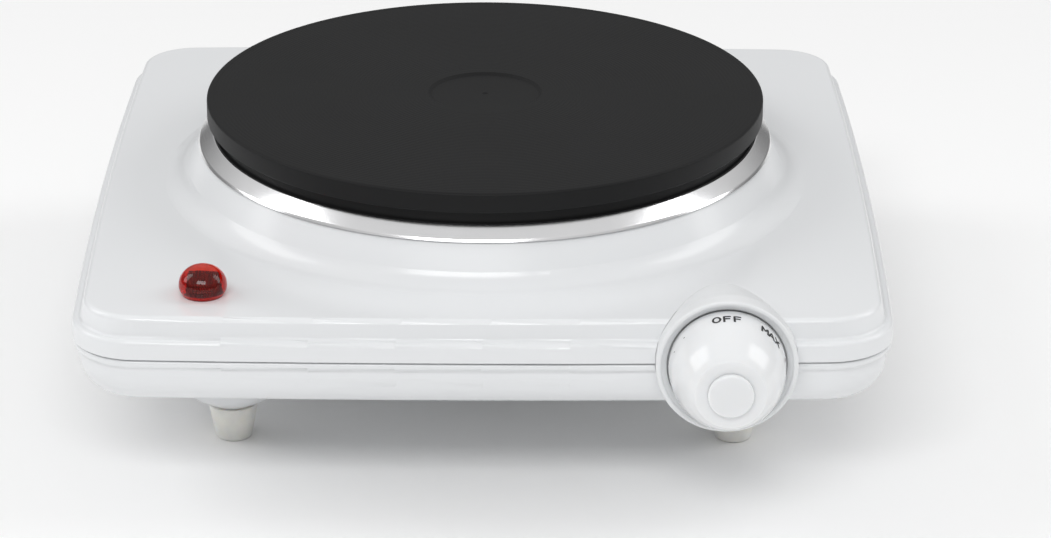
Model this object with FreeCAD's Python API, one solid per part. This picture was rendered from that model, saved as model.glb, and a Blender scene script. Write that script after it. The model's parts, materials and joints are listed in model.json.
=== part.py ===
import FreeCAD, Part
import math
import os

V = FreeCAD.Vector
X_AXIS, Y_AXIS, Z_AXIS = V(1, 0, 0), V(0, 1, 0), V(0, 0, 1)

# A single cast-iron hot plate. Millimetres, +Z up, the front faces -Y. Everything is drawn about
# the body's own centre on the table and moved back by BODY_SHIFT when it is written, so that the
# frame's origin is the middle of the whole object's footprint.

# ---- driving dimensions ----
BODY_WIDTH = 228.6          # widest band of the cover, both ways
HALF = BODY_WIDTH / 2
TOTAL_HEIGHT = 82.55        # table to the top of the heating plate
SIDE_RADIUS = 2700.0        # the four sides bow outwards slightly
CORNER_RADIUS = 19.0
SHEET = 0.8                 # steel sheet of cover and base
PANEL_Z = 57.5              # top of the cover's flat panel
PANEL_UNDER = PANEL_Z - SHEET
FLOOR_Z = 31.0              # underside of the base pan
INNER_FLOOR = FLOOR_Z + SHEET

PLATE_R = 81.7              # cast plate's flange
PLATE_BODY_R = 79.0         # cast plate below the flange
FLANGE_Z = 76.85            # underside of the cast plate's flange
RIM_INNER_R = 75.0          # inside of the cast plate's rim, and the hole in the cover
CASTING_UNDER_Z = 73.5
CHANNEL = (30.0, 70.0)      # radii of the channel that holds the element
CHANNEL_Z = 78.6
COIL_Z, COIL_R = 76.1, 2.1
RING_SHEET = 0.5
COLLAR_Z = 71.3             # top of the cover's collar, under the trim ring
COLLAR_SLOPE = 20.0         # degrees, under the trim ring
SEAT_Z = COLLAR_Z + RING_SHEET

KNOB_X, KNOB_Z = 66.0, 47.0
RIM_Y = -118.0              # front plane of the knob's bezel
BEZEL_R = 19.25
LIP_R = 17.7                # inside of the bezel's flat rim, where the dish slopes in
WELL_R = 16.3
WELL_FLOOR = (-114.3, -112.3)
SKIRT_END = -104.0          # rear end of the bezel's barrel
HUMP_END = -85.2            # rear end of the bezel's fairing on the panel
HUMP_R = PANEL_Z - KNOB_Z + 0.25
TAPER_Y = -113.0            # where the fairing starts to narrow
TAPER_MID_Y, TAPER_MID_R = -99.0, 15.5
KNOB_R = 15.9
KNOB_REACH = 19.1           # knob's nose in front of the bezel
FACE_REACH = 17.6
KNOB_HUB_R = 5.2
CAP_STEM_R = 2.5
SPINDLE_R = 3.0
BORE_GAP = 0.05
BUSH_R = 4.0
BRACKET_T = 1.2
BRACKET_HALF = 11.0
KNOB_TRAVEL = 310.0         # degrees
CAM_R, CAM_LIFT = 5.0, 1.7
CAM_Y = (-109.2, -106.6)
LEAF_ROOT = -89.65          # the moving leaf's flexing line
LEAF_Z = (40.0, 40.5)
BLADE_Z = (37.0, 37.6)
TAB_Z = (37.6, 38.1)
STACK_Y = (-89.5, -77.5)
STACK_AT = (KNOB_X, sum(STACK_Y) / 2)
STACK_HOLE_R = 1.6
TAB_END = -70.0
CONTACT_Y = -102.0
LEAF_TAB_X, BLADE_TAB_X = 62.5, 69.5

FOOT_X, FOOT_Y = 71.7, 61.5
FOOT_TOP_Z = 10.6
LEG_MOUTH_R = 22.65         # leg's bowl where it meets the base's floor
POST_XY = 96.0

LAMP_X, LAMP_Y = -76.6, -93.0
LENS_R, LENS_FOOT_R, LENS_HEIGHT = 6.65, 5.65, 8.4
LENS_STEM_R = 5.0
LAMP_BORE_R = 3.6
LAMP_STEM_END = 46.0

GLAND_X, GLAND_Z = 60.0, 40.2
GLAND_REACH = 117.4         # rear face of the cord gland
GLAND_BORE_R = 3.6
BLOCK_Y = (88.0, 99.0)
WAYS_X = (48.0, 56.0, 64.0, 72.0)
WAY_Z = 37.8
LEAD_ENTRY = BLOCK_Y[0] + 4  # how far the inner leads reach into the block's ways
SCREW_ROWS = (90.8, 96.2)
BLOCK_SCREW = (60.0, 93.5)
EARTH_AT = (97.0, 74.0)
EARTH_TAG_T = 0.6
FUSE_AT = (97.0, 36.0)     # x and z of the thermal fuse
FUSE_HALF = 12.0
PINS_Y = (34.0, 62.0)       # inner and outer ends of the element
PIN_R = 1.2
PIN_END = 61.0
LEAD_R = 1.2
STUD_R = 2.95
BRIDGE_TOP = COLLAR_Z - SHEET
BRIDGE_UNDER = BRIDGE_TOP - 1.5
WASHER_UNDER = BRIDGE_UNDER - 1.2
SHIELD_Z = 50.0
SHIELD_T = 0.5
NUT_HEIGHT = 5.0

BODY_SHIFT = (KNOB_REACH - RIM_Y - GLAND_REACH) / 2


# ---- helpers ----
def box(x, y, z):
    """Box from its (low, high) spans."""
    return Part.makeBox(x[1] - x[0], y[1] - y[0], z[1] - z[0], V(x[0], y[0], z[0]))


def around(centre, half):
    return (centre - half, centre + half)


def post(radius, z, x=0.0, y=0.0):
    """Upright cylinder spanning z = (low, high)."""
    return Part.makeCylinder(radius, z[1] - z[0], V(x, y, z[0]), Z_AXIS)


def rod(radius, y, x=KNOB_X, z=KNOB_Z):
    """Cylinder along Y spanning y = (low, high), on the knob's axis unless told otherwise."""
    return Part.makeCylinder(radius, y[1] - y[0], V(x, y[0], z), Y_AXIS)


def hexagon(across_flats, z, x=0.0, y=0.0):
    """Upright hexagonal bar spanning z = (low, high)."""
    corner = across_flats / math.sqrt(3)
    points = [
        V(x + corner * math.cos(k * math.pi / 3), y + corner * math.sin(k * math.pi / 3), z[0])
        for k in range(7)
    ]
    return Part.Face(Part.makePolygon(points)).extrude(V(0, 0, z[1] - z[0]))


def rounded_bar(x, y, z, radius):
    """Box with its four upright edges rounded."""
    solid = box(x, y, z)
    upright = [e for e in solid.Edges if abs(e.tangentAt(e.FirstParameter).z) > 0.99]
    return solid.makeFillet(radius, upright)


def corners(x, y):
    return [(sx * x, sy * y) for sx in (-1, 1) for sy in (-1, 1)]


def joined(first, *others):
    return first.fuse(list(others)).removeSplitter().Solids[0]


def group(solids):
    return Part.makeCompound(solids)


def line(start, end):
    return Part.LineSegment(start, end).toShape()


def chain(points):
    """Straight edges through (x, z) points in the XZ plane."""
    points = [V(x, 0, z) for x, z in points]
    return [line(a, b) for a, b in zip(points, points[1:])]


def arc(*points):
    """Arc through three (x, z) points in the XZ plane."""
    return Part.Arc(*(V(x, 0, z) for x, z in points)).toShape()


def face_of(edges):
    return Part.Face(Part.Wire(Part.__sortEdges__(edges)))


def rounding(start, corner, end):
    """Quarter arc that rounds the square corner between two (x, z) points."""
    start, corner, end = (V(x, 0, z) for x, z in (start, corner, end))
    centre = start + end - corner
    middle = centre + (corner - centre) * math.sqrt(0.5)
    return Part.Arc(start, middle, end).toShape()


def turned(face, x=0.0, y=0.0):
    """Section in the XZ plane turned about the upright axis at x, y."""
    return face.revolve(V(0, 0, 0), Z_AXIS, 360).translated(V(x, y, 0))


def knob_turned(face):
    """Section whose x is the radius and whose z is the place along Y, turned about the knob's axis."""
    solid = face.revolve(V(0, 0, 0), Z_AXIS, 360)
    solid.rotate(V(0, 0, 0), X_AXIS, -90)
    return solid.translated(V(KNOB_X, 0, KNOB_Z))


# ---- bent sheet: a path of straight runs and tangent bends ----
def walk(start, heading, moves, left=0.0):
    """Edges and end point of a smooth path in the XZ plane, drawn `left` mm to its own left.
    A move is ("line", length), ("left", radius, degrees) or ("right", radius, degrees)."""
    a = math.radians(heading)
    at = V(start[0] - left * math.sin(a), 0, start[1] + left * math.cos(a))
    edges = []
    for move in moves:
        if move[0] == "line":
            to = at + V(math.cos(a), 0, math.sin(a)) * move[1]
            edges.append(line(at, to))
        else:
            side = 1 if move[0] == "left" else -1
            reach = side * move[1] - left
            centre = at + V(-math.sin(a), 0, math.cos(a)) * reach
            turn = side * math.radians(move[2])
            mid, to = (centre + V(math.sin(b), 0, -math.cos(b)) * reach for b in (a + turn / 2, a + turn))
            edges.append(Part.Arc(at, mid, to).toShape())
            a += turn
        at = to
    return edges, at


def heading_after(heading, moves):
    for move in moves:
        if move[0] != "line":
            heading += move[2] if move[0] == "left" else -move[2]
    return heading


def run_to_height(start, heading, moves, bend, height):
    """The moves, then a straight run and the bend, with the run just long enough to end at `height`."""
    _, end = walk(start, heading, moves + [bend])
    slope = math.radians(heading_after(heading, moves))
    return moves + [("line", (height - end.z) / math.sin(slope)), bend]


def run_out(start, heading, moves, x):
    """The moves, then a level run outwards as far as x."""
    _, end = walk(start, heading, moves)
    return moves + [("line", x - end.x)]


def sheet_section(start, heading, moves, thickness):
    """Cross-section of a sheet between the path and the same path `thickness` to its left."""
    near, near_end = walk(start, heading, moves)
    far, far_end = walk(start, heading, moves, thickness)
    a = math.radians(heading)
    begin = V(start[0], 0, start[1])
    far_begin = begin + V(-math.sin(a), 0, math.cos(a)) * thickness
    return face_of(near + far + [line(begin, far_begin), line(near_end, far_end)])


# ---- the body's plan outline: four bowed sides and four corners, all tangent ----
def outline_arcs():
    """Centre x and y, radius, first and last angle in degrees of the outline's eight arcs."""
    offset = SIDE_RADIUS - HALF
    reach = SIDE_RADIUS - CORNER_RADIUS
    k = (math.sqrt(2 * reach**2 - offset**2) - offset) / 2
    half_side = math.degrees(math.atan2(k, k + offset))
    arcs = []
    for facing in (0, 90, 180, 270):
        c, s = math.cos(math.radians(facing)), math.sin(math.radians(facing))
        arcs.append((-offset * c, -offset * s, SIDE_RADIUS, facing - half_side, facing + half_side))
        arcs.append(
            (k * (c - s), k * (s + c), CORNER_RADIUS, facing + half_side, facing + 90 - half_side)
        )
    return arcs


def outline_face(grow, z):
    """Face inside the outline grown by `grow`, at height z."""
    edges = [
        Part.makeCircle(radius + grow, V(x, y, z), Z_AXIS, first, last)
        for x, y, radius, first, last in outline_arcs()
    ]
    return Part.Face(Part.Wire(edges))


def disc_face(radius, z, x=0.0, y=0.0):
    return Part.Face(Part.Wire(Part.makeCircle(radius, V(x, y, z))))


def swept_round(section):
    """Section swept round the outline. Its x is the distance outside the outline."""
    pieces = []
    for x, y, radius, first, last in outline_arcs():
        piece = section.translated(V(radius, 0, 0))
        piece.rotate(V(0, 0, 0), Z_AXIS, first)
        pieces.append(piece.revolve(V(0, 0, 0), Z_AXIS, last - first).translated(V(x, y, 0)))
    return joined(*pieces)


# ---- wires: straight runs joined by tangent arcs as wide as the runs allow ----
def lead(points, radius=LEAD_R):
    points = [V(*p) for p in points]
    edges = []
    at = points[0]
    for before, corner, after in zip(points, points[1:], points[2:]):
        back, ahead = before - corner, after - corner
        half_turn = (math.pi - back.getAngle(ahead)) / 2
        cut = 0.45 * min(back.Length, ahead.Length)
        bend = cut / math.tan(half_turn)
        back.normalize()
        ahead.normalize()
        first, last = corner + back * cut, corner + ahead * cut
        middle = corner + (back + ahead).normalize() * (math.hypot(cut, bend) - bend)
        edges += [line(at, first), Part.Arc(first, middle, last).toShape()]
        at = last
    edges.append(line(at, points[-1]))
    route = Part.Wire(edges)
    ring = Part.Wire(Part.makeCircle(radius, points[0], points[1] - points[0]))
    solid = route.makePipeShell([ring], True, False)
    expected = math.pi * radius**2 * route.Length
    if abs(solid.Volume - expected) > 0.01 * expected:
        raise ValueError(f"lead volume {solid.Volume:.1f}, expected {expected:.1f}")
    return solid


# ---- housing ----
def bezel_side(inset):
    """Outside of the knob's bezel from its rim back to the end of the fairing, drawn `inset` mm in."""
    points = [(BEZEL_R, TAPER_Y), (TAPER_MID_R, TAPER_MID_Y), (HUMP_R, HUMP_END)]
    return arc(*((r - inset, y) for r, y in points))


def bezel_seat():
    """Notch that the cover and the base leave for the knob's bezel, a little larger than it."""
    gap, front = 0.1, RIM_Y - 5
    r, end_r = BEZEL_R + gap, HUMP_R + gap
    section = face_of(
        chain([(0, HUMP_END), (0, front), (r, front), (r, TAPER_Y)])
        + [bezel_side(-gap)]
        + chain([(end_r, HUMP_END), (0, HUMP_END)])
    )
    ahead = box(around(KNOB_X, 2 * BEZEL_R), (front - 1, SKIRT_END + gap), around(KNOB_Z, 2 * BEZEL_R))
    return knob_turned(section).common(ahead)


def collar_section():
    """Raised round collar of the cover, from its hole out to the flat panel."""
    start, flank, foot_radius = (RIM_INNER_R, COLLAR_Z), 62.0, 8.0
    moves = [
        ("line", PLATE_BODY_R - RIM_INNER_R),
        ("right", 1.5, COLLAR_SLOPE),
        ("line", 3.3),
        ("right", 1.5, flank - COLLAR_SLOPE),
    ]
    moves = run_to_height(start, 0, moves, ("left", foot_radius, flank), PANEL_Z)
    return sheet_section(start, 0, run_out(start, 0, moves, HALF - 14), -SHEET)


def top_cover():
    """Pressed cover: stepped skirt, flat panel and the collar round the plate."""
    shoulder_start, flare = -12.0, 78
    skirt = sheet_section(
        (shoulder_start, PANEL_Z), 0,
        [
            ("line", 7.3),
            ("right", 1.5, flare),
            ("line", 3.88),
            ("left", 0.9, flare),
            ("line", 0.35),
            ("right", 1.2, 90),
            ("line", 4.3),
        ],
        -SHEET,
    )
    panel = outline_face(shoulder_start, PANEL_UNDER).cut(disc_face(HALF - 14, PANEL_UNDER))
    cover = joined(swept_round(skirt), panel.extrude(V(0, 0, SHEET)), turned(collar_section()))
    lamp_hole = post(LENS_STEM_R + 0.1, (PANEL_UNDER - 1, PANEL_Z + 1), LAMP_X, LAMP_Y)
    return cover.cut(bezel_seat()).cut(lamp_hole)


def leg_section():
    """Bowl-shaped leg pressed out of the base's floor."""
    start = (0.0, FOOT_TOP_Z)
    moves = [("line", 5.6), ("left", 1.5, 30), ("line", 6.0), ("left", 10.0, 46)]
    moves = run_to_height(start, 0, moves, ("right", 4.0, 76), FLOOR_Z)
    return sheet_section(start, 0, run_out(start, 0, moves, LEG_MOUTH_R), SHEET)


def vent_slots():
    """Rows of slots in the base's floor."""
    half_length, half_width, pitch, row_x = 15.0, 1.6, 8.0, 62.0
    return group([
        rounded_bar(
            around(sx * row_x, half_length),
            around(row * pitch, half_width),
            (FLOOR_Z - 1, INNER_FLOOR + 1),
            half_width - 0.05,
        )
        for sx in (-1, 1)
        for row in (-2, -1, 0, 1, 2)
    ])


def gland_slot():
    """Open slot in the base's rear wall that the cord gland drops into."""
    return box(around(GLAND_X, 5.6), (HALF - 10, HALF + 2), (GLAND_Z - 5.6, PANEL_Z))


def base_pan():
    """Pressed base: floor, four legs, and a beaded wall that stands up inside the cover."""
    wall_inset, foot_radius, flat = 1.6, 10.0, 1.0
    start = -(wall_inset + foot_radius + flat)
    wall = sheet_section(
        (start, FLOOR_Z), 0,
        [
            ("line", flat),
            ("left", foot_radius, 90),
            ("line", 1.5),
            ("right", 1.2, 60),
            ("left", 1.2, 60),
            ("line", 0.2),
            ("left", 1.0, 90),
            ("right", 0.5, 90),
            ("line", 3.0),
        ],
        SHEET,
    )
    floor = outline_face(start, FLOOR_Z)
    legs, holes = [], []
    for x, y in corners(FOOT_X, FOOT_Y):
        floor = floor.cut(disc_face(LEG_MOUTH_R, FLOOR_Z, x, y))
        legs.append(turned(leg_section(), x, y))
        holes.append(post(1.8, (0, FLOOR_Z), x, y))
    for x, y in corners(POST_XY, POST_XY) + [BLOCK_SCREW, EARTH_AT]:
        holes.append(post(1.8, (FLOOR_Z - 1, INNER_FLOOR + 1), x, y))
    pan = joined(swept_round(wall), floor.extrude(V(0, 0, SHEET)), *legs)
    return pan.cut(bezel_seat()).cut(group(holes)).cut(vent_slots()).cut(gland_slot())


def cover_posts():
    """Screw posts spot-welded under the panel's corners, standing on the base's floor."""
    def one(x, y):
        tube = joined(
            post(3.5, (INNER_FLOOR, PANEL_UNDER), x, y),
            post(6.0, (PANEL_UNDER - 1, PANEL_UNDER), x, y),
        )
        return tube.cut(post(1.6, (INNER_FLOOR, PANEL_UNDER - 5), x, y))
    return group([one(x, y) for x, y in corners(POST_XY, POST_XY)])


def pan_head_screw(x, y, under_head, tip, head_r, shank_r, head_height):
    """Screw driven upwards: its head hangs below `under_head`."""
    head = post(head_r, (under_head - head_height, under_head), x, y)
    rim = [e for e in head.Edges if abs(e.BoundBox.ZMax - (under_head - head_height)) < 0.01]
    slot = box(around(x, head_r), around(y, 0.4), around(under_head - head_height, 0.7))
    return joined(head.makeFillet(0.5, rim[:1]), post(shank_r, (under_head, tip), x, y)).cut(slot)


def cover_screws():
    return group([
        pan_head_screw(x, y, FLOOR_Z, 46.0, 3.4, 1.55, 2.0) for x, y in corners(POST_XY, POST_XY)
    ])


def rubber_feet():
    """Tapered rubber feet with a pocket for the screw's head."""
    top_r, bottom_r, pocket_r, hole_r, edge, seat = 7.1, 5.15, 3.3, 1.8, 0.8, 4.0
    points = [
        (bottom_r - edge, 0), (pocket_r, 0), (pocket_r, seat), (hole_r, seat),
        (hole_r, FOOT_TOP_Z), (top_r, FOOT_TOP_Z), (bottom_r, edge),
    ]
    section = face_of(chain(points) + [rounding(points[-1], (bottom_r, 0), points[0])])
    return group([turned(section, x, y) for x, y in corners(FOOT_X, FOOT_Y)])


def foot_screws():
    return group([
        pan_head_screw(x, y, 4.0, 15.0, 3.1, 1.75, 2.0) for x, y in corners(FOOT_X, FOOT_Y)
    ])


def foot_nuts():
    seat = FOOT_TOP_Z + SHEET
    return group([
        hexagon(6.0, (seat, seat + 2.5), x, y).cut(post(1.75, (seat, seat + 2.5), x, y))
        for x, y in corners(FOOT_X, FOOT_Y)
    ])


# ---- knob, its bezel and its spindle ----
def knob_bezel():
    """Round cup with a dished edge round the knob, and a fairing that runs back over the panel."""
    lip, dish = RIM_Y + (BEZEL_R - LIP_R) / 2, 1.9
    hole_r, wall = BUSH_R + BORE_GAP, 1.65
    section = face_of(
        chain([
            (hole_r, WELL_FLOOR[1]), (hole_r, WELL_FLOOR[0]), (WELL_R, WELL_FLOOR[0]),
            (WELL_R, RIM_Y + dish), (LIP_R, lip),
        ])
        + [arc((LIP_R, lip), ((BEZEL_R + LIP_R) / 2, RIM_Y), (BEZEL_R, lip))]
        + chain([(BEZEL_R, lip), (BEZEL_R, TAPER_Y)])
        + [bezel_side(0)]
        + chain([(HUMP_R, HUMP_END), (HUMP_R - wall, HUMP_END)])
        + [bezel_side(wall)]
        + chain([(BEZEL_R - wall, TAPER_Y), (BEZEL_R - wall, WELL_FLOOR[1]), (hole_r, WELL_FLOOR[1])])
    )
    inside = box(around(KNOB_X, 30), (SKIRT_END, HUMP_END + 5), (KNOB_Z - 30, PANEL_Z))
    return knob_turned(section).cut(inside).Solids[0]


def flatted(radius, y, grow=0.0):
    """D-shaped bar along the knob's axis, flat on its lower side."""
    flat = KNOB_Z - 0.7 * SPINDLE_R - grow
    bar = rod(radius + grow, y)
    return bar.cut(box(around(KNOB_X, 10), (y[0] - 1, y[1] + 1), (flat - 10, flat)))


def knob():
    """Domed knob: rounded flanks, a small flat face, hollow behind with a hub for the spindle."""
    rear, pocket, face, hub_end = RIM_Y + 2, RIM_Y - 8, RIM_Y - FACE_REACH, RIM_Y - 1
    pocket_r, pocket_end_r, face_r = 13.0, 11.8, 9.6
    shoulder, flank = (12.3, RIM_Y - 13.6), (14.3, RIM_Y - 9)
    section = face_of(
        [arc((face_r, face), shoulder, flank), arc(flank, (15.35, RIM_Y - 5), (KNOB_R, RIM_Y))]
        + chain([
            (KNOB_R, RIM_Y), (KNOB_R, rear), (pocket_r, rear), (pocket_end_r, pocket),
            (KNOB_HUB_R, pocket), (KNOB_HUB_R, hub_end), (0, hub_end), (0, face), (face_r, face),
        ])
    )
    bore = flatted(SPINDLE_R, (RIM_Y - 12, RIM_Y), BORE_GAP)
    return knob_turned(section).cut(bore).cut(rod(CAP_STEM_R, (face - 1, face + 3)))


def knob_cap():
    """Round cap pressed into the middle of the knob's face."""
    face, nose = RIM_Y - FACE_REACH, RIM_Y - KNOB_REACH
    radius, edge, stem = 6.3, 0.55, 2.6
    points = [
        (radius, nose + edge), (radius, face), (CAP_STEM_R, face), (CAP_STEM_R, face + stem),
        (0, face + stem), (0, nose), (radius - edge, nose),
    ]
    return knob_turned(face_of(chain(points) + [rounding(points[-1], (radius, nose), points[0])]))


def knob_spring():
    """Spring clip round the knob's hub that grips the spindle's flat."""
    span = (RIM_Y - 6, RIM_Y - 2.5)
    ring = rod(KNOB_HUB_R + 0.6, span).cut(rod(KNOB_HUB_R, span))
    return ring.cut(box(around(KNOB_X, 2), (span[0] - 1, span[1] + 1), (KNOB_Z, KNOB_Z + 8)))


def spindle():
    """Steel spindle with a flat for the knob."""
    flat_end = RIM_Y - 0.6
    return joined(flatted(SPINDLE_R, (RIM_Y - 11.5, flat_end)), rod(SPINDLE_R, (flat_end, SKIRT_END)))


def spindle_cam():
    """Spiral cam: its radius grows evenly over the knob's travel, then drops back."""
    rise_end, drop_end = 322, 342

    def rim(degrees, radius):
        b = math.radians(degrees)
        return V(KNOB_X + radius * math.sin(b), CAM_Y[0], KNOB_Z - radius * math.cos(b))

    spiral = Part.BSplineCurve()
    steps = 28
    spiral.interpolate([
        rim(rise_end * k / steps, CAM_R + CAM_LIFT * rise_end * k / steps / KNOB_TRAVEL)
        for k in range(steps + 1)
    ])
    top = rim(rise_end, CAM_R + CAM_LIFT * rise_end / KNOB_TRAVEL)
    dwell = Part.Arc(rim(drop_end, CAM_R), rim((drop_end + 360) / 2, CAM_R), rim(360, CAM_R))
    outline = face_of([spiral.toShape(), line(top, rim(drop_end, CAM_R)), dwell.toShape()])
    return outline.extrude(V(0, CAM_Y[1] - CAM_Y[0], 0)).cut(rod(SPINDLE_R, CAM_Y))


def spindle_bush():
    """Threaded bush that carries the spindle and clamps bezel and bracket."""
    flange = WELL_FLOOR[1] + BRACKET_T
    bush = joined(rod(BUSH_R, (RIM_Y + 0.5, flange)), rod(6.0, (flange, flange + 1.5)))
    return bush.cut(rod(SPINDLE_R + BORE_GAP, (RIM_Y, flange + 2)))


def spindle_nut():
    span = (WELL_FLOOR[0] - 2.5, WELL_FLOOR[0])
    nut = hexagon(11.0, span)
    nut.rotate(V(0, 0, 0), X_AXIS, -90)
    return nut.translated(V(KNOB_X, 0, KNOB_Z)).cut(rod(BUSH_R, span))


# ---- thermostat ----
def thermostat_bracket():
    """Channel bracket: welded under the panel, drilled for the bush, its lower arm holds the stack."""
    wide = around(KNOB_X, BRACKET_HALF)
    front = WELL_FLOOR[1]
    arm_z = 34.6
    arm = (arm_z, arm_z + BRACKET_T)
    bracket = joined(
        box(wide, (front, front + BRACKET_T), (arm_z, PANEL_UNDER)),
        box(wide, (front, -84.0), (PANEL_UNDER - BRACKET_T, PANEL_UNDER)),
        box(around(KNOB_X, 8.5), (front, -73.0), arm),
    )
    bush_hole = rod(BUSH_R + BORE_GAP, (front, front + BRACKET_T))
    return bracket.cut(bush_hole).cut(post(1.6, (arm[0] - 1, arm[1] + 1), *STACK_AT))


def drilled_for_stack(solid):
    return solid.cut(post(STACK_HOLE_R, (30, 50), *STACK_AT))


def ceramic_stack():
    """Three ceramic blocks that clamp the blade and the leaf."""
    layers = ((35.8, BLADE_Z[0]), (TAB_Z[1], LEAF_Z[0]), (LEAF_Z[1], 43.0))
    return group([drilled_for_stack(box(around(KNOB_X, 6), STACK_Y, z)) for z in layers])


def stack_screw():
    """Screw and nut through the ceramic stack."""
    x, y = STACK_AT
    screw = joined(post(1.5, (32.0, 43.0), x, y), post(2.8, (43.0, 45.0), x, y))
    slot = box(around(x, 3), around(y, 0.35), (44.2, 46))
    nut = hexagon(5.5, (32.4, 34.6), x, y).cut(post(1.5, (32.4, 34.6), x, y))
    return group([screw.cut(slot), nut])


def bimetal_blade():
    return drilled_for_stack(box(around(KNOB_X, 3), (CONTACT_Y - 2.2, STACK_Y[1]), BLADE_Z))


def terminal_tab(tab_x, z):
    """Brass strip clamped in the stack, with a tab that sticks out behind it."""
    strip = box(around(KNOB_X, 5.5), STACK_Y, z)
    return drilled_for_stack(joined(strip, box(around(tab_x, 2.0), (STACK_Y[1], TAB_END), z)))


def bimetal_terminal():
    return terminal_tab(BLADE_TAB_X, TAB_Z)


def leaf_terminal():
    return terminal_tab(LEAF_TAB_X, LEAF_Z)


def contact_leaf():
    """Spring leaf from its flexing line at the stack to just under the cam."""
    leaf = rounded_bar(around(KNOB_X, 2.5), (-110.2, LEAF_ROOT), LEAF_Z, 1.2)
    return leaf.cut(box(around(KNOB_X, 0.9), (LEAF_ROOT - 6, LEAF_ROOT - 2), (30, 50)))


def follower_bead():
    """Ceramic bead on the leaf that the cam bears on."""
    y = sum(CAM_Y) / 2
    return post(1.4, (LEAF_Z[1], KNOB_Z - CAM_R - 0.45), KNOB_X, y)


def leaf_contact():
    return post(1.5, (LEAF_Z[0] - 0.4, LEAF_Z[0]), KNOB_X, CONTACT_Y)


def bimetal_contact():
    return post(1.5, (BLADE_Z[1], BLADE_Z[1] + 0.4), KNOB_X, CONTACT_Y)


def tab_receptacles():
    """Push-on receptacles on the two thermostat tabs."""
    def one(tab_x, z):
        middle = sum(z) / 2
        sleeve = rounded_bar(around(tab_x, 2.8), (TAB_END - 5, TAB_END + 6), around(middle, 1.7), 0.8)
        slot = box(around(tab_x, 2.05), (TAB_END - 6, TAB_END), (z[0] - 0.02, z[1] + 0.02))
        return sleeve.cut(slot).cut(rod(LEAD_R, (TAB_END, TAB_END + 7), tab_x, middle))
    return group([one(LEAF_TAB_X, LEAF_Z), one(BLADE_TAB_X, TAB_Z)])


# ---- heating plate ----
def heating_plate():
    """Cast plate: shallow middle recess, overhanging flange, rim below and a channel for the element."""
    edge, recess_r, recess = 0.8, 16.8, 0.7
    top = TOTAL_HEIGHT
    inner, outer = CHANNEL
    points = [
        (0, 80.0), (3.0, 80.0), (3.0, CASTING_UNDER_Z), (inner, CASTING_UNDER_Z),
        (inner, CHANNEL_Z), (outer, CHANNEL_Z), (outer, CASTING_UNDER_Z),
        (RIM_INNER_R, CASTING_UNDER_Z), (RIM_INNER_R, SEAT_Z), (PLATE_BODY_R - 0.4, SEAT_Z),
        (PLATE_BODY_R, SEAT_Z + 0.4), (PLATE_BODY_R, FLANGE_Z),
        (PLATE_R - 0.3, FLANGE_Z), (PLATE_R, FLANGE_Z + 0.3), (PLATE_R, top - edge),
    ]
    recessed = [
        (PLATE_R - edge, top), (recess_r, top), (recess_r - 0.9, top - recess),
        (2.2, top - recess), (1.4, top - recess - 0.5), (0, top - recess - 0.5),
    ]
    corner = rounding(points[-1], (PLATE_R, top), recessed[0])
    return turned(face_of(chain(points) + [corner] + chain(recessed + points[:1])))


def element_coil():
    """Wound heating element: half circles that step outwards, four turns in all."""
    turns = 4
    pitch = (PINS_Y[1] - PINS_Y[0]) / turns
    edges = []
    radius, centre = PINS_Y[0] + pitch / 4, -pitch / 4
    for half in range(2 * turns):
        side = 1 if half % 2 == 0 else -1
        start = V(0, centre + side * radius, COIL_Z)
        mid = V(side * radius, centre, COIL_Z)
        end = V(0, centre - side * radius, COIL_Z)
        edges.append(Part.Arc(start, mid, end).toShape())
        radius += pitch / 2
        centre = end.y + side * radius
    route = Part.Wire(edges)
    ring = Part.Wire(Part.makeCircle(COIL_R, V(0, PINS_Y[0], COIL_Z), X_AXIS))
    return route.makePipeShell([ring], True, False)


def pin_places():
    """Each pin stands against the element's end face: the inner one left of it, the outer one right."""
    return [(-PIN_R, PINS_Y[0]), (PIN_R, PINS_Y[1])]


def element_pins():
    return group([post(PIN_R, (PIN_END, COIL_Z + PIN_R), x, y) for x, y in pin_places()])


def pin_beads():
    """Ceramic beads where the pins leave the plate."""
    return group([
        post(2.5, (65.5, CASTING_UNDER_Z), x, y).cut(post(PIN_R, (65, 74), x, y))
        for x, y in pin_places()
    ])


def element_packing():
    """Magnesia packed round the element in its channel."""
    ring = post(CHANNEL[1], (CASTING_UNDER_Z, CHANNEL_Z)).cut(
        post(CHANNEL[0], (CASTING_UNDER_Z, CHANNEL_Z))
    )
    return ring.cut(element_coil()).cut(element_pins())


def plate_back():
    """Steel disc that closes the plate's underside."""
    span = (CASTING_UNDER_Z - 0.6, CASTING_UNDER_Z)
    disc = post(RIM_INNER_R - 0.3, span).cut(post(3.2, span))
    for x, y in pin_places():
        disc = disc.cut(post(2.55, span, x, y))
    return disc


def trim_ring():
    """Bright ring: a flange under the plate's rim, a crest round its body, a slope and a steeper lip."""
    inner, bend, slope, lip = RIM_INNER_R + 1, 0.8, 39, 62
    wall = PLATE_BODY_R + 0.07 + RING_SHEET
    section = sheet_section(
        (inner, COLLAR_Z), 0,
        [
            ("line", wall - bend - inner),
            ("left", bend, 90),
            ("line", 0.06),
            ("right", 0.4, 90 + slope),
            ("line", 3.68),
            ("right", bend, lip - slope),
            ("line", 1.2),
        ],
        RING_SHEET,
    )
    return turned(section)


def clamp_bridge():
    """Steel bar across the cover's hole that the stud pulls up against the collar."""
    reach, half_width = 77.5, 11.0
    span = (BRIDGE_UNDER, BRIDGE_TOP)
    return rounded_bar((-reach, reach), around(0, half_width), span, 3.0).cut(post(3.2, span))


def plate_stud():
    return post(STUD_R, (44.5, 79.5))


def stud_washer():
    span = (WASHER_UNDER, BRIDGE_UNDER)
    return post(6.5, span).cut(post(3.2, span))


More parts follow.
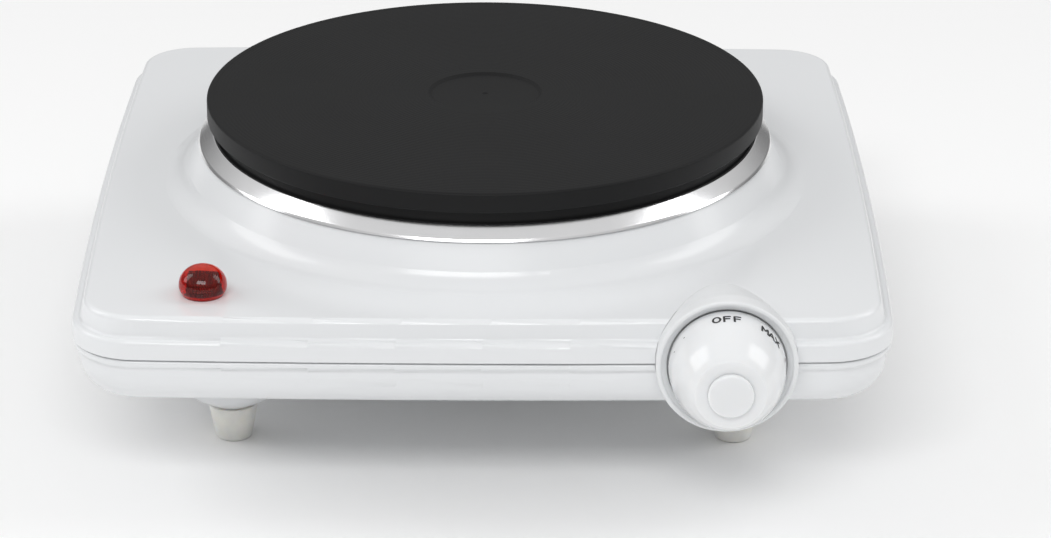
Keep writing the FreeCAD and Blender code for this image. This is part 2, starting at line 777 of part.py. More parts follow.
def stud_nuts():
    """One nut clamps the plate, the other two hold the heat shield."""
    undersides = (WASHER_UNDER - NUT_HEIGHT, SHIELD_Z + SHIELD_T, SHIELD_Z - NUT_HEIGHT)
    spans = [(z, z + NUT_HEIGHT) for z in undersides]
    return group([hexagon(10.0, span).cut(post(STUD_R, span)) for span in spans])


def heat_shield():
    """Aluminised dish under the plate, with a turned-up rim and holes for the leads."""
    section = sheet_section(
        (3.2, SHIELD_Z), 0, [("line", 64.8), ("left", 3.0, 70), ("line", 3.0)], SHIELD_T
    )
    shield = turned(section)
    for x, y in pin_places():
        shield = shield.cut(post(4.0, (SHIELD_Z - 1, SHIELD_Z + 2), x, y))
    return shield


def pin_crimps():
    """Crimped sleeves that join the leads to the pins."""
    return group([
        post(1.8, around(PIN_END, 4), x, y).cut(post(PIN_R, around(PIN_END, 4), x, y))
        for x, y in pin_places()
    ])


# ---- mains terminals and wiring ----
def terminal_block():
    """Ceramic block with four ways along Y."""
    top = 43.8
    block = rounded_bar((44.0, 76.0), BLOCK_Y, (INNER_FLOOR, top), 1.0)
    for x in WAYS_X:
        block = block.cut(rod(2.4, BLOCK_Y, x, WAY_Z))
        for y in SCREW_ROWS:
            block = block.cut(post(2.1, (WAY_Z, top + 1), x, y))
    return block.cut(post(1.6, (INNER_FLOOR, top), *BLOCK_SCREW)).cut(
        post(2.9, (top - 2, top), *BLOCK_SCREW)
    )


def terminal_sleeves():
    """Brass sleeves in the block's four ways."""
    sleeves = []
    for x in WAYS_X:
        sleeve = rod(2.4, BLOCK_Y, x, WAY_Z).cut(rod(1.5, BLOCK_Y, x, WAY_Z))
        for y in SCREW_ROWS:
            sleeve = sleeve.cut(post(1.25, (WAY_Z, WAY_Z + 4), x, y))
        sleeves.append(sleeve)
    return group(sleeves)


def terminal_screws():
    def one(x, y):
        screw = joined(
            post(1.25, (WAY_Z + 1.35, WAY_Z + 2.6), x, y), post(1.9, (WAY_Z + 2.6, WAY_Z + 4.6), x, y)
        )
        return screw.cut(box(around(x, 2), around(y, 0.25), (WAY_Z + 4.0, WAY_Z + 5)))
    return group([one(x, y) for x in WAYS_X for y in SCREW_ROWS])


def bolt_and_nut(at, head, head_r, shank_r, across_flats):
    """Bolt driven downwards through the base's floor, with its nut underneath."""
    tip = FLOOR_Z - 3.0
    bolt = joined(post(shank_r, (tip, head[0]), *at), post(head_r, head, *at))
    slot = box(around(at[0], head_r), around(at[1], 0.4), (head[1] - 0.7, head[1] + 1))
    nut_span = (FLOOR_Z - 2.4, FLOOR_Z)
    return group([
        bolt.cut(slot),
        hexagon(across_flats, nut_span, *at).cut(post(shank_r, nut_span, *at)),
    ])


def block_bolt():
    return bolt_and_nut(BLOCK_SCREW, (41.8, 43.6), 2.8, 1.5, 5.5)


def earth_bolt():
    seat = INNER_FLOOR + EARTH_TAG_T
    return bolt_and_nut(EARTH_AT, (seat, seat + 2.0), 3.2, 1.7, 7.0)


def earth_tag():
    """Ring tag under the earth bolt, with a barrel for the lead."""
    x, y = EARTH_AT
    ring = post(3.6, (INNER_FLOOR, INNER_FLOOR + EARTH_TAG_T), x, y)
    tongue = box((x - 9.0, x - 3.0), around(y, 1.5), (INNER_FLOOR, INNER_FLOOR + EARTH_TAG_T))
    barrel = Part.makeCylinder(1.8, 5.0, V(x - 12.0, y, INNER_FLOOR + 1.8), X_AXIS)
    bore = Part.makeCylinder(LEAD_R, 3.0, V(x - 12.0, y, INNER_FLOOR + 1.8), X_AXIS)
    return joined(ring, tongue, barrel).cut(bore).cut(post(1.7, (31, 33), x, y))


def thermal_fuse():
    """Thermal cut-out: a metal can with crimped ends, in line with the live lead."""
    x, z = FUSE_AT
    return joined(rod(2.0, (-7, 7), x, z), rod(1.5, (-FUSE_HALF, FUSE_HALF), x, z))


def fuse_clip():
    """P-clip that holds the fuse above the base's floor."""
    x, z = FUSE_AT
    loop = rod(2.6, (-3, 3), x, z)
    foot = box(around(x, 4.0), (-3, 3), (INNER_FLOOR, INNER_FLOOR + 0.6))
    leg = box(around(x, 0.6), (-3, 3), (INNER_FLOOR, z - 2.2))
    return joined(loop, foot, leg).cut(rod(2.0, (-3, 3), x, z))


def lead_live():
    """From the block to the fuse, and from the fuse to the thermostat's blade."""
    x, z = FUSE_AT
    tab = (TAB_Z[0] + TAB_Z[1]) / 2
    rear = lead([
        (WAYS_X[2], LEAD_ENTRY, WAY_Z), (WAYS_X[2], 76, 37.4), (72, 54, 36.4), (90, 36, z),
        (x, 24, z), (x, FUSE_HALF, z),
    ])
    front = lead([
        (x, -FUSE_HALF, z), (x, -26, z), (92, -44, 36.6), (76, -50, 37.2), (BLADE_TAB_X, -56, tab),
        (BLADE_TAB_X, TAB_END + 0.3, tab),
    ])
    return group([rear, front])


def lead_heater():
    """From the thermostat's leaf to the element's inner pin."""
    x, y = pin_places()[0]
    tab = (LEAF_Z[0] + LEAF_Z[1]) / 2
    return lead([
        (LEAF_TAB_X, TAB_END + 0.3, tab), (LEAF_TAB_X, -52, tab), (52, -22, 38), (26, 12, 37),
        (8, y - 4, 38), (x, y, 46), (x, y, PIN_END),
    ])


def lead_neutral():
    """From the element's outer pin to the block."""
    x, y = pin_places()[1]
    return lead([
        (x, y, PIN_END), (x, y, 44), (10, y + 2, 37), (34, 62, 36), (52, 66, 36.6),
        (WAYS_X[1], 77, WAY_Z), (WAYS_X[1], LEAD_ENTRY, WAY_Z),
    ])


def lead_earth():
    """From the block to the tag under the earth bolt."""
    z = INNER_FLOOR + 1.8
    x, y = EARTH_AT
    return lead([
        (WAYS_X[3], LEAD_ENTRY, WAY_Z), (WAYS_X[3], 80, 37.4), (76, 74.5, 35),
        (x - 14.5, y, z), (x - 9.2, y, z),
    ])


def lamp_leads():
    """From the pilot lamp to the thermostat's leaf, and round the left side to the block."""
    tab = (LEAF_Z[0] + LEAF_Z[1]) / 2
    front = lead([
        (LAMP_X + 1.7, LAMP_Y, 45.0), (LAMP_X + 1.7, LAMP_Y, 39), (LAMP_X + 10, LAMP_Y + 4, 36),
        (-34, -80, 35), (2, -72, 36), (32, -66, 39), (50, -66, tab), (LEAF_TAB_X - 2.8, -66, tab),
    ])
    rear = lead([
        (LAMP_X - 1.7, LAMP_Y, 45.0), (LAMP_X - 1.7, LAMP_Y, 38), (-88, -80, 35), (-97, -46, 35),
        (-98, 0, 35), (-90, 46, 35), (-64, 78, 35), (-20, 86, 35), (18, 84, 35), (40, 76, 36),
        (WAYS_X[0], 81, WAY_Z), (WAYS_X[0], LEAD_ENTRY, WAY_Z),
    ])
    return group([front, rear])


# ---- pilot lamp and cord gland ----
def pilot_lens():
    """Red lens: a bulbous cap on the panel with a hollow stem below it."""
    bore_r, bore_top, top = LAMP_BORE_R, 60.2, PANEL_Z + LENS_HEIGHT
    hips, shoulder = (6.25, PANEL_Z + 4.8), (3.3, PANEL_Z + 7.76)
    points = [
        (1.5, top), (0, top), (0, bore_top + 1), (bore_r, bore_top), (bore_r, LAMP_STEM_END),
        (LENS_STEM_R, LAMP_STEM_END), (LENS_STEM_R, PANEL_Z), (LENS_FOOT_R, PANEL_Z),
    ]
    outside = [
        arc(points[-1], (LENS_R, PANEL_Z + 2.9), hips),
        arc(hips, (4.95, PANEL_Z + 6.65), shoulder),
        arc(shoulder, (2.45, PANEL_Z + 8.16), points[0]),
    ]
    return turned(face_of(chain(points) + outside), LAMP_X, LAMP_Y)


def pilot_bulb():
    """Neon bulb standing in the lens."""
    foot, tip = LAMP_STEM_END + 1, 58.6
    bulb = post(2.6, (foot, tip), LAMP_X, LAMP_Y)
    return bulb.makeFillet(2.2, [e for e in bulb.Edges if e.BoundBox.ZMin > tip - 0.1])


def pilot_plug():
    """Plug that closes the lens's stem and guides the two leads."""
    return joined(
        post(LAMP_BORE_R, (LAMP_STEM_END, LAMP_STEM_END + 1), LAMP_X, LAMP_Y),
        post(LENS_STEM_R, (LAMP_STEM_END - 1, LAMP_STEM_END), LAMP_X, LAMP_Y),
    )


def pilot_clip():
    """Spring washer that holds the lamp under the panel."""
    under = (PANEL_UNDER - 0.5, PANEL_UNDER)
    ring = post(8.0, under, LAMP_X, LAMP_Y).cut(post(LENS_STEM_R, under, LAMP_X, LAMP_Y))
    return ring.cut(box(around(LAMP_X, 0.6), around(LAMP_Y, 6.4), around(PANEL_UNDER, 2)))


def cord_gland():
    """Moulded gland in the base's rear wall, with its bore for a mains cord."""
    neck_z = around(GLAND_Z, 5.5)
    outer_y, inner_y = (113.5, GLAND_REACH), (105.0, 108.6)
    neck = box(around(GLAND_X, 5.5), (inner_y[0], outer_y[1]), neck_z)
    outer = box(around(GLAND_X, 7.5), outer_y, (GLAND_Z - 7.0, neck_z[1]))
    rear_edges = [e for e in outer.Edges if e.BoundBox.YMin > outer_y[1] - 0.01]
    inner = box(around(GLAND_X, 7.5), inner_y, (GLAND_Z - 4.0, neck_z[1]))
    gland = joined(neck, outer.makeFillet(1.5, rear_edges), inner)
    return gland.cut(rod(GLAND_BORE_R, (inner_y[0] - 1, outer_y[1] + 1), GLAND_X, GLAND_Z))


NODES = (
    top_cover, base_pan, cover_posts, cover_screws, rubber_feet, foot_screws, foot_nuts,
    knob_bezel, knob, knob_cap, knob_spring, spindle, spindle_cam, spindle_bush, spindle_nut,
    thermostat_bracket, ceramic_stack, stack_screw, bimetal_blade, bimetal_terminal,
    leaf_terminal, contact_leaf, follower_bead, leaf_contact, bimetal_contact, tab_receptacles,
    heating_plate, element_coil, element_packing, element_pins, pin_beads, plate_back, trim_ring,
    clamp_bridge, plate_stud, stud_washer, stud_nuts, heat_shield, pin_crimps,
    terminal_block, terminal_sleeves, terminal_screws, block_bolt, earth_bolt, earth_tag,
    thermal_fuse, fuse_clip, lead_live, lead_heater, lead_neutral, lead_earth, lamp_leads,
    pilot_lens, pilot_bulb, pilot_plug, pilot_clip, cord_gland,
)

os.makedirs("parts", exist_ok=True)
for make in NODES:
    shape = make().translated(V(0, BODY_SHIFT, 0))
    shape.exportStep(f"parts/{make.__name__}.step")
    solids = shape.Solids
    print(f"{make.__name__:20s} {len(solids):2d} solids {shape.Volume:10.1f} mm3 valid {shape.isValid()}")
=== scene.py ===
import bpy
import bmesh
import json
import math
from mathutils import Matrix, Vector


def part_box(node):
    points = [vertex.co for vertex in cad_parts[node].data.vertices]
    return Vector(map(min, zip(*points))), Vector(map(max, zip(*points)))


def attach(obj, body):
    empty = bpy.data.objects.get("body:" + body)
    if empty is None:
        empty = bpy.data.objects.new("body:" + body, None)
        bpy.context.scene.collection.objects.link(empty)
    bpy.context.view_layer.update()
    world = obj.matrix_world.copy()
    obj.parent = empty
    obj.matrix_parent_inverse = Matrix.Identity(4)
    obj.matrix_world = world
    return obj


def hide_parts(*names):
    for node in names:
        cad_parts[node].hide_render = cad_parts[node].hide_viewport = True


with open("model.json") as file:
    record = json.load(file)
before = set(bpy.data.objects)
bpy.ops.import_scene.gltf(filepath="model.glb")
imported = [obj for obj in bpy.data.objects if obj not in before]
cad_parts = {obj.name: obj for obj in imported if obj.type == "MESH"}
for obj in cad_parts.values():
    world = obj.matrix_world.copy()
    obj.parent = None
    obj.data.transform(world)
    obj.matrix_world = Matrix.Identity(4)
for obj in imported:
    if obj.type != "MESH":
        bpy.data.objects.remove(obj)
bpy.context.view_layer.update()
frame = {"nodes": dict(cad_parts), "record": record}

# Lengths below are millimetres in the row frame unless a name says otherwise.
MM = 0.001
SHIFT = 9.85                     # the body's centre lies this far behind the frame's origin
PLATE_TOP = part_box("heating_plate")[1].z / MM
KNOB = Vector((66.0, SHIFT - 118.0, 47.0))   # centre of the bezel's front rim
LAMP = Vector((-76.6, SHIFT - 93.0, 57.5))   # middle of the lens, on the panel
PLATE = Vector((0.0, SHIFT, 0.0))            # foot of the plate's axis


# ---------------------------------------------------------------- shapes
def rounded(points, steps=6):
    """2-D polyline with its corners rounded. Each point is (a, b) or (a, b, radius)."""
    out = []
    last = len(points) - 1
    for i, p in enumerate(points):
        here = Vector(p[:2])
        radius = p[2] if len(p) > 2 else 0.0
        if radius == 0.0 or i in (0, last):
            out.append(here)
            continue
        back = Vector(points[i - 1][:2]) - here
        ahead = Vector(points[i + 1][:2]) - here
        half = back.angle(ahead) / 2
        cut = min(radius / math.tan(half), 0.49 * back.length, 0.49 * ahead.length)
        reach = cut / math.cos(half)
        middle = here + (back.normalized() + ahead.normalized()).normalized() * reach
        start, end = here + back.normalized() * cut, here + ahead.normalized() * cut
        r = (start - middle).length
        a0 = math.atan2(*(start - middle).yx)
        turn = math.atan2(*(end - middle).yx) - a0
        turn = (turn + math.pi) % (2 * math.pi) - math.pi
        for k in range(steps + 1):
            a = a0 + turn * k / steps
            out.append(middle + Vector((math.cos(a), math.sin(a))) * r)
    return out


def mesh_object(name, bm, sharp=30):
    """Object from a bmesh in millimetres, smooth except over edges sharper than `sharp` degrees."""
    bmesh.ops.remove_doubles(bm, verts=bm.verts, dist=1e-5)
    bmesh.ops.recalc_face_normals(bm, faces=bm.faces)
    bmesh.ops.scale(bm, vec=(MM, MM, MM), verts=bm.verts)
    mesh = bpy.data.meshes.new(name)
    bm.to_mesh(mesh)
    bm.free()
    mesh.shade_smooth()
    mesh.set_sharp_from_angle(angle=math.radians(sharp))
    thing = bpy.data.objects.new(name, mesh)
    bpy.context.scene.collection.objects.link(thing)
    return thing


def lathe_into(bm, profile, centre, along="Z", segments=256):
    """Surface of revolution of (radius, height) points round an upright or a front-to-back axis."""
    rings = []
    for r, h in profile:
        ring = []
        for k in range(segments if r > 1e-6 else 1):
            a = 2 * math.pi * k / segments
            x, y = r * math.cos(a), r * math.sin(a)
            at = Vector((x, y, h)) if along == "Z" else Vector((x, h, y))
            ring.append(bm.verts.new(centre + at))
        rings.append(ring)
    for one, two in zip(rings, rings[1:]):
        for k in range(segments):
            n = (k + 1) % segments
            corners = [one[k % len(one)], one[n % len(one)], two[n % len(two)], two[k % len(two)]]
            unique = list(dict.fromkeys(corners))
            if len(unique) > 2:
                bm.faces.new(unique)


def lathe(name, profile, centre, along="Z", segments=256, sharp=30):
    """Object made by one surface of revolution."""
    bm = bmesh.new()
    lathe_into(bm, profile, centre, along, segments)
    return mesh_object(name, bm, sharp)


# ---------------------------------------------------------------- materials
class Look:
    """A Principled material with small helpers for its procedural nodes."""

    def __init__(self, name, colour, rough, metal=0.0, **inputs):
        self.material = bpy.data.materials.new(name)
        self.material.use_nodes = True
        self.tree = self.material.node_tree
        self.shader = self.tree.nodes["Principled BSDF"]
        self.colour = (*colour, 1.0)
        self.rough = rough
        self.set("Base Color", self.colour)
        self.set("Roughness", rough)
        self.set("Metallic", metal)
        for key, value in inputs.items():
            self.set(key.replace("_", " "), value)
        self.coords = self.tree.nodes.new("ShaderNodeTexCoord").outputs["Object"]

    def set(self, name, value):
        """Constant on one of the shader's sockets."""
        self.shader.inputs[name].default_value = value

    def node(self, kind, **values):
        """New node; each value is one of its settings or one of its sockets."""
        made = self.tree.nodes.new(kind)
        for key, value in values.items():
            if hasattr(made, key):
                setattr(made, key, value)
            else:
                made.inputs[key.replace("_", " ")].default_value = value
        return made

    def link(self, a, b):
        self.tree.links.new(a, b)

    def noise(self, size, detail=3.0, rough=0.55, stretch=None):
        """Noise whose features are about `size` mm across."""
        made = self.node("ShaderNodeTexNoise", Scale=1.0 / (size * MM), Detail=detail, Roughness=rough)
        vector = self.coords
        if stretch:
            mapping = self.node("ShaderNodeMapping")
            mapping.inputs["Scale"].default_value = stretch
            self.link(vector, mapping.inputs["Vector"])
            vector = mapping.outputs["Vector"]
        self.link(vector, made.inputs["Vector"])
        return made.outputs["Fac"]

    def math(self, operation, a, b=0.0, c=0.0):
        made = self.node("ShaderNodeMath", operation=operation)
        for socket, value in zip(made.inputs, (a, b, c)):
            if isinstance(value, (int, float)):
                socket.default_value = value
            else:
                self.link(value, socket)
        return made.outputs[0]

    def span(self, value, low, high):
        """Value of 0 to 1 spread from low to high."""
        made = self.node("ShaderNodeMapRange")
        made.inputs["To Min"].default_value = low
        made.inputs["To Max"].default_value = high
        self.link(value, made.inputs["Value"])
        return made.outputs["Result"]

    def radius(self, centre):
        """Distance from an upright axis through centre, in metres."""
        offset = self.node("ShaderNodeVectorMath", operation="SUBTRACT")
        offset.inputs[1].default_value = centre * MM
        self.link(self.coords, offset.inputs[0])
        flat = self.node("ShaderNodeVectorMath", operation="MULTIPLY")
        flat.inputs[1].default_value = (1, 1, 0)
        self.link(offset.outputs[0], flat.inputs[0])
        length = self.node("ShaderNodeVectorMath", operation="LENGTH")
        self.link(flat.outputs[0], length.inputs[0])
        return length.outputs["Value"]

    def tint(self, fac, low, high):
        """Base colour that runs from the base times low to the base times high with fac."""
        made = self.node("ShaderNodeMix", data_type="RGBA")
        made.inputs[6].default_value = tuple(c * low for c in self.colour[:3]) + (1.0,)
        made.inputs[7].default_value = tuple(min(c * high, 1.0) for c in self.colour[:3]) + (1.0,)
        self.link(fac, made.inputs[0])
        self.link(made.outputs[2], self.shader.inputs["Base Color"])

    def gloss(self, fac, low, high):
        """Roughness that runs from the base times low to the base times high with fac."""
        self.link(self.span(fac, self.rough * low, self.rough * high), self.shader.inputs["Roughness"])

    def bump(self, height, depth):
        """Bump of `depth` mm for a height of 0 to 1, on top of any earlier bump."""
        made = self.node("ShaderNodeBump")
        made.inputs["Distance"].default_value = depth * MM
        self.link(height, made.inputs["Height"])
        normal = self.shader.inputs["Normal"]
        if normal.is_linked:
            self.link(normal.links[0].from_socket, made.inputs["Normal"])
        self.link(made.outputs["Normal"], normal)


def enamel(name, colour):
    """Glossy baked coat with a slight orange peel."""
    look = Look(name, colour, 0.3, Coat_Weight=0.35, Coat_Roughness=0.12)
    look.tint(look.noise(60, 2.0), 0.985, 1.01)
    look.gloss(look.noise(25), 0.85, 1.15)
    look.bump(look.noise(2.6, 1.0), 0.006)
    return look.material


def plastic(name, colour, rough, soft=0.06):
    """Moulded plastic; `soft` is how much light scatters inside it."""
    look = Look(name, colour, rough, Subsurface_Weight=soft, Subsurface_Scale=0.002)
    look.set("Subsurface Radius", (1.0, 0.95, 0.9))
    look.tint(look.noise(9, 3.0), 0.97, 1.01)
    look.gloss(look.noise(3, 4.0), 0.85, 1.2)
    look.bump(look.noise(0.45, 3.0), 0.004)
    return look.material


def iron():
    """Turned casting under a dark heat-resistant coat: rings, pores, and faint heat marks."""
    look = Look("cast_iron_coated", (0.008, 0.0081, 0.0085), 0.55, Specular_IOR_Level=0.2)
    radius = look.radius(PLATE)
    wide = look.span(look.noise(38, 3.0), -0.5, 0.5)
    rings = look.math("SINE", look.math("MULTIPLY", radius, 2 * math.pi / (0.37 * MM)))
    fine = look.math("MULTIPLY_ADD", rings, 0.5, 0.5)
    speck = look.noise(0.35, 4.0, 0.7)
    look.tint(look.math("ADD", look.math("MULTIPLY_ADD", speck, 0.55, 0.2), wide), 0.8, 1.25)
    look.gloss(look.math("MULTIPLY_ADD", fine, 0.35, look.math("MULTIPLY", speck, 0.5)), 0.82, 1.2)
    look.bump(fine, 0.008)
    look.bump(speck, 0.02)
    return look.material


def steel(name, colour, rough):
    """Bare or plated metal with a drawn grain."""
    look = Look(name, colour, rough, 1.0)
    look.tint(look.noise(4.0, 4.0), 0.86, 1.06)
    look.gloss(look.noise(0.7, 3.0, 0.6, (1, 1, 9)), 0.75, 1.35)
    look.bump(look.noise(0.3, 3.0, 0.6, (1, 1, 7)), 0.006)
    return look.material


def chrome_ring():
    """Bright rolled ring with faint spinning marks and patches of slight haze."""
    look = Look("chrome_spun", (0.94, 0.94, 0.95), 0.15, 1.0)
    radius = look.radius(PLATE)
    marks = look.node("ShaderNodeTexNoise", noise_dimensions="1D", Scale=1.0, Detail=4.0)
    look.link(look.math("MULTIPLY", radius, 1 / (0.16 * MM)), marks.inputs["W"])
    haze = look.noise(14, 3.0)
    look.tint(haze, 0.93, 1.03)
    half_haze = look.math("MULTIPLY", haze, 0.5)
    look.gloss(look.math("MULTIPLY_ADD", marks.outputs["Fac"], 0.5, half_haze), 0.6, 1.7)
    look.bump(marks.outputs["Fac"], 0.0016)
    look.bump(look.noise(9, 2.0), 0.012)
    return look.material


def rubber(name, colour):
    """Milky soft moulding that light passes into."""
    look = Look(name, colour, 0.5, Subsurface_Weight=0.45, Subsurface_Scale=0.004)
    look.set("Subsurface Radius", (1.0, 0.85, 0.6))
    look.tint(look.noise(3.5, 4.0), 0.88, 1.06)
    look.gloss(look.noise(1.0, 3.0), 0.85, 1.2)
    look.bump(look.noise(0.3, 4.0), 0.01)
    look.bump(look.noise(2.5, 2.0), 0.03)
    return look.material


def ceramic(name, colour):
    """Dry fired or pressed ceramic."""
    look = Look(name, colour, 0.7)
    look.tint(look.noise(1.2, 5.0), 0.85, 1.06)
    look.gloss(look.noise(2.0), 0.9, 1.1)
    look.bump(look.noise(0.25, 5.0, 0.7), 0.02)
    return look.material


def sleeving(name, colour, woven=False):
    """Plastic sleeve of a lead, or a woven glass one."""
    look = Look(name, colour, 0.6 if woven else 0.42)
    look.tint(look.noise(0.9 if woven else 5.0, 3.0), 0.85, 1.08)
    look.gloss(look.noise(1.5), 0.9, 1.15)
    look.bump(look.noise(0.3 if woven else 1.2, 3.0, 0.6), 0.05 if woven else 0.01)
    return look.material


def lens_red():
    """Clear red plastic."""
    look = Look("lens_red", (0.90, 0.05, 0.02), 0.04, Transmission_Weight=1.0, IOR=1.4)
    look.tint(look.noise(1.6, 2.0), 0.75, 1.25)
    look.gloss(look.noise(1.0, 3.0), 0.7, 1.6)
    look.bump(look.noise(1.8, 1.0), 0.01)
    return look.material


def bulb_glass():
    """Thin glass round the lamp's electrodes."""
    look = Look("bulb_glass", (0.75, 0.5, 0.4), 0.08, Transmission_Weight=0.6, IOR=1.5)
    look.tint(look.noise(1.5), 0.8, 1.1)
    look.bump(look.noise(0.8), 0.01)
    return look.material


def print_black():
    """Ink printed on the knob."""
    look = Look("print_black", (0.012, 0.012, 0.013), 0.45)
    look.tint(look.noise(0.5, 3.0), 0.7, 1.5)
    look.gloss(look.noise(0.4), 0.8, 1.2)
    look.bump(look.noise(0.3), 0.004)
    return look.material


def tray_orange():
    """Bright tray under the lens."""
    look = Look("tray_orange", (0.95, 0.10, 0.035), 0.5)
    look.tint(look.noise(1.5, 3.0), 0.85, 1.1)
    look.gloss(look.noise(1.0), 0.8, 1.2)
    return look.material


def prism_dark():
    """Dark red block of prisms under the lens."""
    look = Look("prism_dark", (0.10, 0.02, 0.02), 0.3)
    look.tint(look.noise(1.2, 3.0), 0.5, 1.6)
    look.gloss(look.noise(0.8), 0.7, 1.3)
    look.bump(look.noise(0.3), 0.01)
    return look.material


LOOKS = {
    "white_enamel": enamel("baked_enamel", (0.80, 0.812, 0.825)),
    "white_plastic": plastic("moulded_white", (0.80, 0.812, 0.822), 0.34),
    "knob_plastic": plastic("moulded_knob", (0.83, 0.84, 0.85), 0.15, 0.5),
    "foot_rubber": rubber("clear_rubber", (0.94, 0.92, 0.86)),
    "zinc_steel": steel("zinc_plate", (0.60, 0.61, 0.62), 0.34),
    "brass": steel("plain_brass", (0.70, 0.53, 0.26), 0.32),
    "spring_metal": steel("spring_strip", (0.52, 0.49, 0.44), 0.3),
    "silver": steel("contact_silver", (0.80, 0.80, 0.79), 0.25),
    "ceramic": ceramic("steatite", (0.78, 0.76, 0.70)),
    "ceramic_packing": ceramic("pressed_packing", (0.58, 0.54, 0.46)),
    "cast_iron": iron(),
    "element_alloy": steel("element_sheath", (0.26, 0.24, 0.22), 0.5),
    "chrome": chrome_ring(),
    "shield_aluminium": steel("mill_sheet", (0.66, 0.67, 0.68), 0.36),
    "block_plastic": plastic("block_moulding", (0.74, 0.71, 0.63), 0.5),
    "lead_brown": sleeving("lead_brown", (0.16, 0.07, 0.03)),
    "lead_white": sleeving("lead_glass_braid", (0.74, 0.72, 0.67), woven=True),
    "lead_blue": sleeving("lead_blue", (0.04, 0.13, 0.42)),
    "lead_green": sleeving("lead_green", (0.15, 0.40, 0.06)),
    "gland_rubber": rubber("gland_moulding", (0.66, 0.66, 0.65)),
    "red_lens": lens_red(),
    "bulb_glass": bulb_glass(),
}

SLOT_OF = {s["node"]: s["material_slot"] for s in frame["record"]["subparts"]}
for node, thing in frame["nodes"].items():
    look = LOOKS[SLOT_OF[node]]
    for slot in thing.material_slots:
        slot.material = look
    if not thing.material_slots:
        thing.data.materials.append(look)


def finished(thing, body, slot, *replaced, look=None):
    """Give a new piece its look (the look of its record slot unless one is given) and its body, and hide
    the nodes that it stands for.
    """
    thing.data.materials.append(look or LOOKS[slot])
    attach(thing, body)
    if replaced:
        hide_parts(*replaced)


# ---------------------------------------------------------------- heating plate
PLATE_R = 81.7
RECESS_R, RECESS_DEPTH = 15.6, 0.7
PIP_R, PIP_DEPTH = 0.6, 0.95             # centre mark in the recess
RIM_UNDER = 76.85                        # underside of the rim
BODY_R, BODY_UNDER = 79.0, 71.8          # thicker part inside the rim, and its lower edge
GROOVE_PITCH, GROOVE_DEPTH = 1.15, 0.03
GROOVES_FROM, GROOVES_TO = 19.2, 79.2
# One groove, as shares of the pitch and of the depth.
GROOVE = ((0.0, 0.0), (0.18, 0.3), (0.36, 0.85), (0.5, 1.0), (0.64, 0.85), (0.82, 0.3))


def plate_profile():
    """Top of the casting with its turned grooves, then the rim; the centre has a recess."""
    top = PLATE_TOP
    recess = top - RECESS_DEPTH
    profile = rounded([
        (0, top - PIP_DEPTH), (PIP_R, top - PIP_DEPTH, 0.1), (PIP_R + 0.5, recess, 0.2),
        (RECESS_R, recess, 0.4), (RECESS_R + 1.1, top, 0.4), (18.5, top),
    ], 5)
    r = GROOVES_FROM
    while r < GROOVES_TO:
        for part, drop in GROOVE:
            profile.append(Vector((r + part * GROOVE_PITCH, top - drop * GROOVE_DEPTH)))
        r += GROOVE_PITCH
    rim = [
        (79.6, top), (PLATE_R, top, 0.8), (PLATE_R, RIM_UNDER, 0.35), (BODY_R, RIM_UNDER, 0.25),
        (BODY_R, BODY_UNDER, 0.3), (75.0, BODY_UNDER), (75.0, 73.5), (70.0, 73.5), (70.0, 78.6),
        (30.0, 78.6), (30.0, 73.5), (3.0, 73.5), (3.0, 80.0), (0, 80.0),
    ]
    return profile + rounded(rim, 6)


casting = lathe("plate_casting", plate_profile(), PLATE, segments=288)
finished(casting, "housing", "cast_iron", "heating_plate")


# ---------------------------------------------------------------- trim ring
def sheet(start, moves, thickness):
    """Closed outline of a bent sheet; its underside follows the moves, its top is to their left."""
    under, over = [Vector(start)], [Vector(start) + Vector((0, thickness))]
    heading = 0.0
    for kind, size, *turn in moves:
        steps = 1 if kind == "line" else max(4, round(turn[0] / 7))
        for k in range(steps):
            if kind == "line":
                under.append(under[-1] + Vector((math.cos(heading), math.sin(heading))) * size)
            else:
                side = 1 if kind == "left" else -1
                middle = under[-1] + Vector((-math.sin(heading), math.cos(heading))) * size * side
                heading += side * math.radians(turn[0]) / steps
                under.append(middle + Vector((math.sin(heading), -math.cos(heading))) * size * side)
            over.append(under[-1] + Vector((-math.sin(heading), math.cos(heading))) * thickness)
    return over + under[::-1] + [over[0]]


# Flange under the plate's rim, a crest round its body, the slope and the steeper lip.
RING_START, RING_SHEET = (76.0, 71.3), 0.5
RING = [
    ("line", 2.77), ("left", 0.8, 90), ("line", 0.06), ("right", 0.4, 129),
    ("line", 4.3), ("right", 0.8, 23), ("line", 0.55),
]
ring = lathe("ring_spun", sheet(RING_START, RING, RING_SHEET), PLATE, segments=320, sharp=50)
finished(ring, "housing", "chrome", "trim_ring")


# ---------------------------------------------------------------- knob
# Distances are in front of the bezel's rim. The flank is (radius, distance).
KNOB_R, KNOB_FRONT = 15.9, 17.6
FACE_R = 9.6                  # edge of the flat front
CAP_R, CAP_FRONT = 6.2, 19.1
FLANK = [(KNOB_R, 0.0), (15.66, 2.5), (15.35, 5.0), (14.9, 7.0), (14.3, 9.0), (13.45, 11.3),
         (12.3, 13.6), (11.1, 15.7), (FACE_R, KNOB_FRONT)]


def spline(points, steps=6):
    """Catmull-Rom curve through 2-D points."""
    points = [Vector(p) for p in points]
    ends = [points[0] * 2 - points[1]] + points + [points[-1] * 2 - points[-2]]
    out = []
    for a, b, c, d in zip(ends, ends[1:], ends[2:], ends[3:]):
        for k in range(steps):
            t = k / steps
            out.append(0.5 * ((2 * b) + (c - a) * t + (2 * a - 5 * b + 4 * c - d) * t * t
                              + (3 * b - a - 3 * c + d) * t ** 3))
    return out + [points[-1]]


SMOOTH_FLANK = spline(FLANK)


